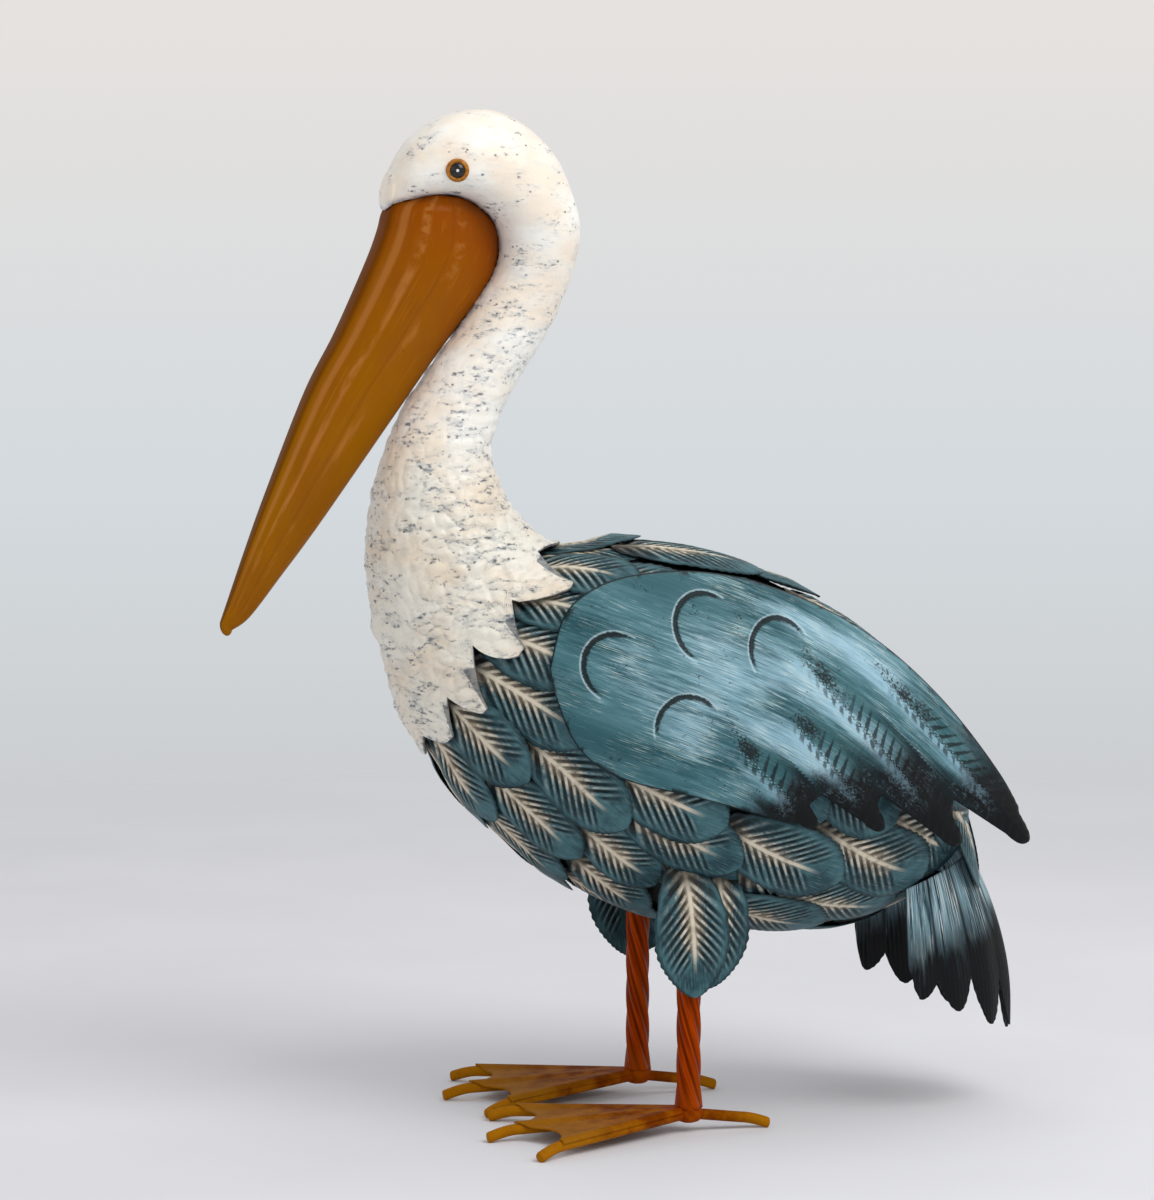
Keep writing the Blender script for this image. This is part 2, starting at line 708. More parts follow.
wingLights = [                       # station, flow height, reach of both, how much lighter or darker
    [200, 84, 55, 9, 0.3], [222, 50, 45, 8, 0.2], [165, 52, 30, 14, 0.16], [150, 34, 42, 10, 0.14],
    [188, 20, 45, 9, 0.22], [104, 18, 24, 12, 0.1], [128, 55, 18, 12, 0.1], [134, 2, 16, 10, 0.22],
    [98, 74, 46, 13, -0.3], [88, -17, 48, 13, -0.34], [64, 30, 12, 40, -0.16], [205, 34, 45, 6, -0.3],
    [196, 4, 40, 6, -0.26], [150, 93, 60, 5, -0.24],
]
wingCrescents = [                    # centre station, height, radius, first and last angle
    [86.5, 23, 17, 75, 262], [127, 59.5, 17.5, 70, 268],
    [170, 61, 17.5, 45, 232], [132, 5.5, 17, 52, 215],
]


def quadratic(first, pull, last, steps=8):
    t = np.linspace(0, 1, steps + 1)[:, None]
    return (1 - t) ** 2 * first + 2 * t * (1 - t) * pull + t * t * last


def wingOutline():
    line = [curveThrough(wingTop)]
    for root, tip, width, notch in wingFingers:
        root, tip = np.array(root, float), np.array(tip, float)
        run = (tip - root) / np.linalg.norm(tip - root)
        side = np.array([-run[1], run[0]]) * width
        upper = tip - 1.5 * width * run + 0.8 * side
        nose = tip + 0.35 * width * run
        lower = tip - 1.3 * width * run - 0.9 * side
        line.append(quadratic(upper, nose + 0.5 * side, nose))
        line.append(quadratic(nose, nose - 0.8 * side, lower))
        last = lower
        if notch:
            last = np.array(notch, float)
            line.append(last[None, :])
    line.append(curveThrough([list(last)] + wingBottom))
    return np.vstack(line)


outlineOfWing = wingOutline()


def fromOutline(points, outline):    # signed distance, negative inside, and the nearest edge point
    runs = np.roll(outline, -1, axis=0) - outline
    ends = outline + runs
    lengths = np.maximum((runs ** 2).sum(axis=1), 1e-9)
    flat = np.where(np.abs(runs[:, 1]) < 1e-9, 1e-9, runs[:, 1])
    distances, nearest = np.empty(len(points)), np.empty_like(points)
    for first in range(0, len(points), 4000):
        part = slice(first, first + 4000)
        block = points[part, None, :]
        away = block - outline
        t = np.clip((away * runs).sum(axis=2) / lengths, 0, 1)
        edge = outline + t[..., None] * runs
        gaps = np.linalg.norm(block - edge, axis=2)
        best = gaps.argmin(axis=1)
        rows = np.arange(len(block))
        crosses = (outline[:, 1] > block[..., 1]) != (ends[:, 1] > block[..., 1])
        at = outline[:, 0] + away[..., 1] * runs[:, 0] / flat
        inside = (crosses & (block[..., 0] < at)).sum(axis=1) % 2 == 1
        distances[part] = np.where(inside, -1, 1) * gaps[rows, best]
        nearest[part] = edge[rows, best]
    return distances, nearest


def wingRadius(s):
    behind = np.maximum(0, (s - egg["widest"]) / (egg["rear"] - egg["widest"]))
    straight = egg["radius"] - wing["rearDrop"] * behind ** 2
    return np.where(s < egg["widest"], bodyRadius(np.minimum(s, egg["widest"])), straight)


def fingerPlaces(s, height):         # the nearest finger's rise, the way along it and off its ridge
    rises, alongs, offs, runs = [], [], [], []
    for root, tip, *_ in wingFingers:
        run = np.array(tip, float) - root
        length = np.linalg.norm(run)
        ds, dh = s - root[0], height - root[1]
        along = (ds * run[0] + dh * run[1]) / length ** 2
        off = (ds * run[1] - dh * run[0]) / length
        rises.append(smooth(along, -0.1, 0.45) * np.exp(-(off / wing["ridgeWidth"]) ** 2))
        alongs.append(along)
        offs.append(off)
        runs.append(along * length)
    best = np.argmax(np.array(rises), axis=0)[None]
    tables = (rises, alongs, offs, runs)
    picked = [np.take_along_axis(np.array(rows), best, axis=0)[0] for rows in tables]
    return *picked, best[0]


def crescents(s, height):            # distance from the nearest line, way from its ends, and its side
    gap, arc, outside = np.full(len(s), 15.0), np.zeros(len(s)), np.zeros(len(s))
    for station, middle, radius, first, last in wingCrescents:
        ds, dh = s - station, height - middle
        reach = np.hypot(ds, dh)
        turn = np.degrees(np.arctan2(dh, ds)) % 360
        beyond = np.maximum(0, np.maximum(first - turn, turn - last))
        gap = np.minimum(gap, np.hypot(reach - radius, np.radians(np.minimum(beyond, 90)) * radius))
        near = smooth(np.minimum(turn - first, last - turn), 0, 40)
        closest = np.abs(reach - radius) < 6
        arc = np.where(closest, near, arc)
        outside = np.where(closest & (reach > radius) & (beyond <= 0), 1.0, outside)
    return gap, arc, outside


def wingPoint(s, height, out):
    radius = wingRadius(s) + wing["lift"] + out
    reach = np.minimum(np.abs(height) / radius, 0.985)
    x = egg["x"] + s * axisAlong[0] + height * axisUp[0]
    z = egg["z"] + s * axisAlong[1] + height * axisUp[1]
    return space(x, -egg["widthRatio"] * radius * np.sqrt(1 - reach * reach), z)


def wingBlank():                     # the flat sheet, cut along its outline
    low, high = outlineOfWing.min(axis=0) - 2, outlineOfWing.max(axis=0) + 2
    columns, rows = (int(size / wing["step"]) for size in high - low)
    bm = bmesh.new()
    bmesh.ops.create_grid(bm, x_segments=columns, y_segments=rows, size=0.5)
    for vert in bm.verts:
        vert.co.x = lerp(low[0], high[0], vert.co.x + 0.5)
        vert.co.y = lerp(low[1], high[1], vert.co.y + 0.5)
    centres = np.array([face.calc_center_median()[:2] for face in bm.faces])
    outside = fromOutline(centres, outlineOfWing)[0] > 0
    spare = [face for face, out in zip(bm.faces, outside) if out]
    bmesh.ops.delete(bm, geom=spare, context="FACES")
    edge = [vert for vert in bm.verts if vert.is_boundary]
    snapped = fromOutline(np.array([vert.co[:2] for vert in edge]), outlineOfWing)[1]
    for vert, (s, height) in zip(edge, snapped):
        vert.co.x, vert.co.y = s, height
    return meshOf("wing", bm)


def wingSheet():
    mesh = wingBlank()
    flat = readPoints(mesh)
    s, height = flat[:, 0], flat[:, 1]
    rise, along, off, run, number = fingerPlaces(s, height)
    gap, arc, outside = crescents(s, height)
    rim = -fromOutline(flat[:, :2].copy(), outlineOfWing)[0]
    lean = np.where((off < 0) & (number > 0), 0.35, -0.9)
    stroke = np.cos(2 * math.pi * (run + np.abs(off) * lean) / wing["strokePitch"])
    strokes = smooth(np.abs(off), 1.5, 4) * (1 - smooth(np.abs(off), 9, 13))
    strokes = strokes * smooth(along, 0.3, 0.5)
    out = wing["ridge"] * rise + wing["vein"] * np.exp(-(off / 0.9) ** 2) * smooth(along, 0.15, 0.4)
    out = out + wing["stroke"] * stroke * strokes
    out = out - wing["groove"] * np.exp(-(gap / wing["grooveWidth"]) ** 2)
    out = out - wing["rimDrop"] * np.exp(-(rim / 1.2) ** 2)
    flow = height + wing["droop"] * np.maximum(0, s - wing["droopFrom"]) ** 2
    light = sum(
        amount * np.exp(-((s - middle) / reach) ** 2 - ((flow - level) / breadth) ** 2)
        for middle, level, reach, breadth, amount in wingLights
    )
    beyond = wing["markReach"]
    addMarks(mesh, {
        "light": light, "groove": gap, "arc": arc, "outside": outside, "rim": rim, "lean": lean,
        "finger": np.clip(along, -0.5, 1.3), "fingerRun": run,
        "above": np.where(off < 0, np.minimum(-off, beyond), beyond),
        "below": np.where(off > 0, np.minimum(off, beyond), beyond),
        "skin": (s, flow),
    })
    writePoints(mesh, wingPoint(s, height, out))
    return weld(mesh, closed=False, outward=lambda centre: (0, -1, 0))


# Tail: a fluted fan of nine fingers round the rump
tail = {
    "columns": 252, "rows": 64, "x": 156, "wall": 1.1,
    "topReach": 49, "reach": 74, "topSpread": 45, "spread": 50.5, "sideTop": 127, "rearTop": 145,
    "openLength": 90, "flute": 2.0, "fingerRound": 1.9, "rib": 0.22, "ribTurns": 2.9,
}
# Angle from straight behind, and height, of the fingers' tips and of the notches between them
tailTips = [[0, 39], [22, 44], [45, 48], [66, 58], [84, 66]]
tailValleys = [[11, 72], [33.5, 73], [56, 78], [75, 76], [90, 92]]


def placeTail(u, v):
    half = [corner for pair in zip(tailTips, tailValleys) for corner in pair]
    corners = np.array([[-angle, z] for angle, z in reversed(half[1:])] + half, float)
    i, t, first, last = onCorners(corners, u)
    fromTip = i % 2 == 1
    share = np.where(fromTip, t ** tail["fingerRound"], 1 - (1 - t) ** tail["fingerRound"])
    offTip = np.where(fromTip, t, 1 - t)
    turn = np.radians(lerp(first[:, 0], last[:, 0], t))
    bottom = lerp(first[:, 1], last[:, 1], share)
    top = lerp(tail["sideTop"], tail["rearTop"], np.cos(turn))
    z = lerp(top, bottom, v)
    down = np.clip((top - z) / tail["openLength"], 0, 1)
    openness = 1 - (1 - down) ** 2
    flute = tail["flute"] * (1 - offTip ** 1.4) * smooth(down, 0.05, 0.9)
    rib = tail["rib"] * np.sin(np.degrees(turn) * tail["ribTurns"]) * smooth(down, 0.1, 0.4)
    reach = lerp(tail["topReach"], tail["reach"], openness) + flute + rib
    spread = lerp(tail["topSpread"], tail["spread"], openness) + flute + rib
    points = space(tail["x"] + reach * np.cos(turn), -spread * np.sin(turn), z)
    return points, {"down": down, "offTip": offTip, "skin": (turn * 60, z)}


# Feathers: root station and angle, tip station and angle, width, in the order of laying.
# Those off the middle line come in pairs. Names with an underscore first have no node of their own
feathers = [
    ["_nape_under_feather", 34, 13, 98, 14, 36],
    ["_shoulder_under_feather", 88, 38, 150, 40, 38],
    ["_back_under_feather", 92, 0, 160, 0, 44],
    ["_back_fill_feather", 150, 29, 214, 30, 40],
    ["_back_rear_under_feather", 200, 10, 262, 11, 38],
    ["_loin_top_feather", 222, 44, 282, 46, 38],
    ["_rump_top_feather", 262, 48, 320, 52, 38],
    ["_rump_under_feather", 268, 122, 322, 128, 38],
    ["_flank_under_feather", 140, 131, 200, 134, 38],
    ["_loin_under_feather", 196, 126, 254, 131, 38],
    ["rump_side_feather", 262, 91, 321, 102, 46],
    ["_rump_end_feather", 284, 0, 326, 0, 38],
    ["_rump_corner_feather", 282, 68, 325, 80, 40],
    ["_rump_low_feather", 262, 158, 322, 156, 36],
    ["belly_rear_feather", 226, 133, 293, 141, 39],
    ["belly_rear_centre_feather", 222, 180, 300, 180, 52],
    ["rump_flank_feather", 224, 103, 300, 117, 42],
    ["_rump_back_side_feather", 256, 27, 318, 32, 38],
    ["_rump_shoulder_feather", 250, 55, 312, 58, 38],
    ["rump_back_feather", 222, 0, 302, 0, 50],
    ["_back_low_feather", 190, 37, 254, 38, 36],
    ["_belly_inner_feather", 176, 158, 240, 160, 36],
    ["belly_middle_feather", 186, 142, 258, 150, 42],
    ["back_rear_feather", 180, 18, 252, 22, 48],
    ["belly_centre_feather", 134, 180, 212, 180, 56],
    ["_belly_front_feather", 112, 165, 176, 166, 34],
    ["flank_inner_feather", 111, 149, 163, 157, 34],
    ["flank_middle_feather", 104, 133, 156, 139, 35],
    ["_under_wing_rear_feather", 194, 80, 266, 93, 42],
    ["_under_wing_feather", 148, 86, 224, 99, 42],
    ["loin_feather", 172, 112, 248, 120, 42],
    ["flank_lower_feather", 118, 117, 190, 122, 39],
    ["flank_upper_feather", 104, 108, 172, 110, 40],
    ["back_centre_feather", 124, 0, 204, 0, 52],
    ["_back_under_wing_feather", 118, 34, 184, 34, 36],
    ["back_side_feather", 84, 14, 162, 15, 39],
    ["breast_centre_feather", 50, 180, 130, 180, 56],
    ["_breast_low_feather", 54, 160, 118, 163, 34],
    ["breast_lower_feather", 49, 138, 114, 143, 37],
    ["breast_upper_feather", 60, 113, 125, 122, 39],
    ["_shoulder_feather", 60, 36, 122, 42, 36],
    ["nape_feather", 38, 0, 98, 0, 42],
    ["_collar_centre_feather", 16, 180, 74, 180, 34],
    ["collar_belly_feather", 16, 154, 70, 157, 33],
    ["collar_middle_feather", 18, 93, 90, 101, 40],
    ["collar_lower_feather", 15, 122, 71, 127, 38],
    ["collar_upper_feather", 22, 70, 76, 80, 40],
    ["_collar_shoulder_feather", 26, 48, 78, 58, 32],
    ["collar_back_feather", 33, 25, 92, 42, 36],
]
hangingFeathers = [                  # root X Y Z, tip X Y Z, direction of the face, width
    ["thigh_rear_feather", [43, -73.5, 145], [37, -66.5, 80], [0, -1, 0], 38],
    ["thigh_outer_feather", [22, -77, 148], [29, -71, 76], [0, -1, 0], 43],
    ["_rump_cover_feather", [179, -27, 197], [204, -30, 124], [1, -0.55, 0.4], 40],
    ["_rump_middle_feather", [186, 0, 204], [213, 0, 122], [1, 0, 0.4], 40],
]
plume = {
    "ribPitch": 5.3, "rowsPerRib": 6, "columns": 14, "ribAngle": math.radians(41), "ribsEnd": 0.74,
    "ribHeight": 0.9, "shaft": 0.8, "wall": 0.4, "gap": 0.15, "rootLift": 0.6, "crown": 0.7,
    "tipRise": 1.1, "underRise": 0.2, "serration": 0.42, "rootBack": -0.07,
    "widest": 0.62, "rootWidth": 0.46,                    # outline, as shares of length and width
    "hemPile": 3.2, "hemGap": 0.8, "wingGap": 1.2,        # how the pile fits under hem and wing
    "backTone": -0.7,                                     # the back carries less of the tan wash
}
hanging = {                          # bowed outwards, cupped round the leg, tucked in at the root
    "bow": 3.5, "cup": 9, "tuck": 7.0, "pointed": 0.27, "moreColumns": 4,
    "tone": 0.55, "coverTone": 0.4,
}


def widthShare(along):
    widest = plume["widest"]
    low = 1 - (1 - plume["rootWidth"]) * np.clip((widest - along) / widest, 0, 1) ** 2.2
    high = (1 - np.clip((along - widest) / (1 - widest), 0, 1) ** 2.2) ** 0.62
    return np.where(along < widest, low, high)


def leafGrid(u, v, length, width):   # rows run out from the shaft with the ribs
    x = 2 * u - 1
    slant = lerp(0.55, 1, smooth(v, 0.0, 0.15)) / math.tan(plume["ribAngle"])
    low, high = np.zeros_like(v), np.full_like(v, width / 2)
    for _ in range(24):
        middle = (low + high) / 2
        room = widthShare(np.minimum(v + slant * middle / length, 1)) * width / 2
        low = np.where(room > middle, middle, low)
        high = np.where(room > middle, high, middle)
    across = x * low
    along = np.minimum(v + slant * np.abs(across) / length, 1)
    return along, across, np.abs(x)


def leafRelief(u, v, length, width, seed):
    v = lerp(plume["rootBack"], 1, v)
    along, across, reach = leafGrid(u, v, length, width)
    ribs = 1 - smooth(v, plume["ribsEnd"] - 0.2, plume["ribsEnd"])
    ribs = ribs * (1 - smooth(reach, 0.6, 0.95))
    phase = v * length / plume["ribPitch"] + seed
    rib = 0.5 + 0.5 * np.cos(2 * math.pi * phase)
    shaftWidth = lerp(1.3, 0.5, np.clip(v, 0, 1))
    shaft = np.exp(-(across / shaftWidth) ** 2) * (1 - smooth(v, 0.72, 0.9))
    beside = smooth(np.abs(across), 0.9, 3.6)
    out = plume["ribHeight"] * (rib - 0.55) * ribs * beside + plume["shaft"] * shaft
    out = out + plume["crown"] * (1 - reach ** 2) * widthShare(along)
    tooth = plume["serration"] * np.cos(2 * math.pi * phase) * smooth(reach, 0.97, 1.0)
    across = across + np.sign(across) * tooth
    marks = {
        "rib": rib, "ribbed": ribs * beside, "reach": reach,
        "along": along, "across": np.abs(across), "skin": (along * length, across),
    }
    return along, across, out, marks


def leafRows(length):
    return int(length / plume["ribPitch"] * plume["rowsPerRib"])


def spread(grid, reach):             # the highest value within reach, then evened out
    rows, columns = grid.shape
    steps = range(2 * reach + 1)
    for pick in (np.max, np.mean):
        padded = np.pad(grid, reach, mode="edge")
        grid = pick([padded[a:a + rows, b:b + columns] for a in steps for b in steps], axis=0)
    return grid


class Coat:                          # the height that the feathers laid so far take up
    station, angle, first, rows = 2.5, math.radians(2.5), -60.0, 200    # size and place of its cells
    least = 1.2                      # of the evened pile, where nothing lies

    def __init__(self):
        self.turns = round(2 * math.pi / self.angle)
        self.heights = np.zeros((self.rows, self.turns))

    def cell(self, s, theta):
        i = np.clip(np.round((s - self.first) / self.station).astype(int), 1, len(self.heights) - 2)
        return i, np.round(np.mod(theta, 2 * math.pi) / self.angle).astype(int) % self.turns

    def taken(self, s, theta):
        i, j = self.cell(s, theta)
        spots = [self.heights[i + a, (j + b) % self.turns] for a in (-1, 0, 1) for b in (-1, 0, 1)]
        return np.max(spots, axis=0)

    def add(self, s, theta, height):
        i, j = self.cell(s, theta)
        np.maximum.at(self.heights, (i, j), height)
        np.maximum.at(self.heights, (i, (-j) % self.turns), height)

    def even(self):                  # called once, when every feather is on
        wide = np.hstack([self.heights[:, -8:], self.heights, self.heights[:, :8]])
        self.pile = np.maximum(spread(spread(wide, 1), 2)[:, 8:-8], self.least)

    def top(self, s, theta):
        a = np.clip((s - self.first) / self.station, 0, len(self.pile) - 1.001)
        b = np.mod(theta, 2 * math.pi) / self.angle
        i, j = a.astype(int), b.astype(int)
        a, b = a - i, b - j
        j, k = j % self.turns, (j + 1) % self.turns
        near = lerp(self.pile[i, j], self.pile[i, k], b)
        return lerp(near, lerp(self.pile[i + 1, j], self.pile[i + 1, k], b), a)


def fitted(coat, s, theta, lift):    # the pile meets the hem's underside and stays under the wing
    pile = coat.top(s, theta)
    hemRoom = hemRise(s, theta) - neck["rim"] - plume["hemGap"]
    hemShare = np.minimum(plume["hemPile"], hemRoom / pile)
    hemShare = lerp(hemShare, 1, smooth(pastHem(s, theta), 0.5, 20))
    side = np.abs(np.mod(theta + math.pi, 2 * math.pi) - math.pi)
    radius = bodyRadius(s) + lift
    wingRoom = wing["lift"] - wing["wall"] - plume["wingGap"]
    wingRoom = wingRoom + np.maximum(0, wingRadius(s) - bodyRadius(s))
    gap = fromOutline(np.stack([s, radius * np.cos(side)], axis=-1), outlineOfWing)[0]
    wingShare = lerp(np.minimum(1, wingRoom / pile), 1, smooth(gap, 0.5, 12))
    return lift * hemShare * wingShare


def leafFrame(root, rootAngle, tip, tipAngle):
    first, last = math.radians(rootAngle), math.radians(tipAngle)
    run = np.array([tip - root, (last - first) * float(bodyRadius((root + tip) / 2))])
    length = float(np.linalg.norm(run))
    run = run / length

    def at(along, across):
        s = lerp(root, tip, along) - across * run[1]
        rounding = np.maximum(bodyRadius(np.minimum(s, egg["rear"] - 6)), 26)
        return s, lerp(first, last, along) + across * run[0] / rounding
    return at, length


def onGrid(grid, x, y):              # value of a grid at shares x, y from 0 to 1
    rows, columns = grid.shape
    a, b = np.clip(x, 0, 1) * (rows - 1), np.clip(y, 0, 1) * (columns - 1)
    i, j = np.minimum(a.astype(int), rows - 2), np.minimum(b.astype(int), columns - 2)
    a, b = smooth(a - i, 0, 1), smooth(b - j, 0, 1)
    top = lerp(grid[i, j], grid[i, j + 1], b)
    return lerp(top, lerp(grid[i + 1, j], grid[i + 1, j + 1], b), a)


def tipRise(name):                   # feathers without a node of their own fill in below the others
    return plume["underRise"] if name.startswith("_") else plume["tipRise"]


def layFeather(coat, row):           # how high each part of a feather lies over the body
    name, *place, width = row
    at = leafFrame(*place)[0]
    alongs = np.linspace(0, 1, 25)[:, None]
    shares = np.linspace(-0.5, 0.5, 11)[None, :]
    acrosses = shares * width * np.maximum(widthShare(alongs), 0.15)
    s, theta = at(alongs, acrosses)
    taken = coat.taken(s, theta)
    needed = np.where(taken > 0, taken + plume["gap"], plume["rootLift"])
    lifts = spread(needed, 2)
    thick = plume["wall"] + 0.4 * plume["ribHeight"]
    fine, across = np.linspace(0, 1, 60)[:, None], np.linspace(-0.5, 0.5, 36)[None, :]
    s, theta = at(fine, across * width * widthShare(fine))
    dome = plume["crown"] * (1 - (2 * across) ** 2) + tipRise(name) * fine ** 2
    height = onGrid(lifts, fine + 0 * across, across + 0.5 + 0 * fine) + thick + dome
    coat.add(s.ravel(), theta.ravel(), height.ravel())
    return lifts


def pressFeather(coat, row, lifts, tone, seed):
    name, *place, width = row
    at, length = leafFrame(*place)

    def lay(u, v):
        along, across, out, marks = leafRelief(u, v, length, width, seed)
        s, theta = at(along, across)
        share = across / (width * np.maximum(widthShare(along), 0.15)) + 0.5
        lift = onGrid(lifts, along, share) + tipRise(name) * along ** 2 + plume["wall"]
        points = bodyPoint(s, theta, fitted(coat, s, theta, lift) + out)
        return points, marks | {"tone": tone}
    mesh = layGrid(name, plume["columns"], leafRows(length), lay)
    middle = roundAxis(lerp(place[0], place[2], 0.5), 0.0, 0.0)
    return weld(mesh, closed=False, outward=lambda centre: np.array(centre) - middle)


def hangFeather(row, tone, seed):
    name, root, tip, facing, width = row
    root, tip = np.array(root, float), np.array(tip, float)
    length = np.linalg.norm(tip - root)
    down = (tip - root) / length
    out = unit(facing - np.dot(facing, down) * down)
    aft = np.cross(down, out)

    def lay(u, v):
        along, across, relief, marks = leafRelief(u, v, length, width, seed)
        across = across * (1 - hanging["pointed"] * smooth(along, 0.5, 1))
        share = across / width
        bow = hanging["bow"] * np.sin(math.pi * along) + relief
        bow = bow - hanging["cup"] * share * share * widthShare(along)
        bow = bow - hanging["tuck"] * (1 - smooth(along, 0.0, 0.28))
        points = root + along[:, None] * (tip - root) + across[:, None] * aft + bow[:, None] * out
        return points, marks | {"tone": tone, "skin": (along * length, across)}
    columns = plume["columns"] + hanging["moreColumns"]
    mesh = layGrid(name, columns, leafRows(length), lay)
    return weld(mesh, closed=False, outward=lambda centre: out)


def addLeaf(name, mesh, paint, alone):   # alone on the middle line, otherwise one on each side
    node = None if name.startswith("_") else name
    name = name.lstrip("_") + "_leaf"
    if alone:
        addPiece(name, mesh, paint, "feather", *([node] if node else []), wall=plume["wall"])
    else:
        addPair(name, mesh, paint, "feather", node, wall=plume["wall"])


# Legs and feet, on the left side
leg = {
    "x": 29, "y": 56, "radius": 6.1, "flute": 0.6, "flutes": 6, "twistLength": 120,
    "foot": 12.0, "hip": 172, "columns": 54, "rows": 110, "flare": 1.7, "flareLength": 7,
}
toe = {
    "radius": 3, "front": 112, "rear": 45,
    "spread": math.radians(29.5), "toeOut": math.radians(1.5),
    "ankle": 10.2, "knuckle": 6.4, "tip": 2.6, "bend": 15,    # heights on a rod, length of its bend
    "columns": 24, "rows": 46,
}
web = {
    "columns": 120, "rows": 60, "start": 7, "length": 98, "wall": 1.0, "sag": 2.2, "scallop": 15,
    "shareOver": 0.05, "overBend": 1.35,      # what is bent down over the outer rods, and how far
    "onRod": 1.35, "bendRadius": 3.6,
}
ankle = {
    "columns": 36, "steps": 5,
    "profile": [[0, 5.2], [3.6, 5.4], [5.9, 6.6], [7.2, 8.6], [7.6, 10.8], [7.3, 12.8], [6.6, 14.6],
                [5.6, 15.6], [0, 15.8]],
}


def placeLeg(u, v):
    z = lerp(leg["foot"], leg["hip"], v)
    turn = 2 * math.pi * u
    twist = 2 * math.pi * (z - leg["foot"]) / leg["twistLength"]
    flute = np.cos(leg["flutes"] * (turn + twist))
    flute = np.sign(flute) * np.abs(flute) ** 0.75
    grow = leg["flare"] * np.exp(-(z - leg["foot"]) / leg["flareLength"])
    radius = leg["radius"] + leg["flute"] * flute * (1 - 0.5 * grow / leg["flare"]) + grow
    radius = np.where((v <= 0) | (v >= 1), 0, radius)
    points = space(leg["x"] + radius * np.cos(turn), -leg["y"] + radius * np.sin(turn), z)
    return points, {"flute": flute, "rise": z, "skin": ((turn + twist) * leg["radius"], z)}


def toeHeight(along, length):
    drop = toe["bend"] / length
    level = lerp(toe["ankle"], toe["knuckle"], np.clip(along / (1 - drop), 0, 1))
    falling = np.clip((along - 1 + drop) / drop, 0, 1) ** 1.5
    return np.where(along < 1 - drop, level, lerp(toe["knuckle"], toe["tip"], falling))


def onFoot(points):                  # turned out a little and set under the leg
    cos, sin = math.cos(toe["toeOut"]), math.sin(toe["toeOut"])
    x, y, z = np.moveaxis(points, -1, 0)
    return space(leg["x"] + x * cos - y * sin, -leg["y"] + x * sin + y * cos, np.maximum(z, 0.02))


def rodMesh(turn, length):
    def lay(u, v):
        full, last = toe["radius"], toe["rows"]
        row = v * last
        along = np.clip((row - 1) / (last - 4), 0, 1)
        capRows = [0, 1, last - 3, last - 2, last - 1, last]
        radius = np.interp(row, capRows, [0, full, full, full - 0.3, full - 0.9, 0])
        beyond = np.interp(row, capRows[2:5], [0, 0.55, 0.8])
        z = toeHeight(along, length)
        rise = toeHeight(np.minimum(along + 0.01, 1), length)
        rise = rise - toeHeight(np.maximum(along - 0.01, 0), length)
        tilt = np.arctan2(rise, 0.02 * length)
        around = 2 * math.pi * u
        side, up = radius * np.cos(around), radius * np.sin(around)
        reach = length * along - up * np.sin(tilt) + beyond * np.cos(tilt)
        z = z + up * np.cos(tilt) + beyond * np.sin(tilt)
        x = -reach * math.cos(turn) + side * math.sin(turn)
        y = -reach * math.sin(turn) - side * math.cos(turn)
        return onFoot(space(x, y, z)), {"reach": along}
    return weld(layGrid("rod", toe["columns"], toe["rows"], lay))


def ankleMesh():                     # the lump of weld that the rods and the leg meet in
    profile = curveThrough(ankle["profile"], ankle["steps"])
    profile[:, 0] = np.maximum(profile[:, 0], 0)
    profile[[0, -1], 0] = 0

    def place(radius, height, turn):
        lump = 1 + 0.07 * np.sin(3 * turn + 0.6) * np.sin(height * 0.5)
        lump = lump + 0.05 * np.sin(7 * turn + height)
        return onFoot(space(radius * lump * np.cos(turn), radius * lump * np.sin(turn), height))
    mesh = turned("ankle", profile.tolist(), place, ankle["columns"])
    addMarks(mesh, {"reach": np.zeros(len(mesh.vertices))})
    return mesh


def placeWeb(u, v):
    over = web["shareOver"]
    fold = np.clip((u - over) / (1 - 2 * over), 0, 1) * 2 - 1
    beyond = np.clip((over - u) / over, 0, 1) - np.clip((u - 1 + over) / over, 0, 1)
    valley = np.abs(np.sin(math.pi * fold)) ** 0.8
    reach = lerp(web["start"], web["length"] - web["scallop"] * valley, v)
    turn = toe["spread"] * fold
    toRod = reach * toe["spread"] * np.minimum(np.abs(fold), 1 - np.abs(fold))
    sag = web["sag"] * v * smooth(toRod, 0, 7)
    bend = np.abs(beyond) * web["overBend"]
    side = -np.sign(beyond) * web["bendRadius"] * np.sin(bend)
    cover = toe["radius"] + web["onRod"] - web["bendRadius"] * (1 - np.cos(bend))
    x = -reach * np.cos(turn) + side * np.sin(turn)
    y = -reach * np.sin(turn) - side * np.cos(turn)
    z = toeHeight(reach / toe["front"], toe["front"]) + cover - sag
    return onFoot(space(x, y, z)), {"reach": reach / 100}


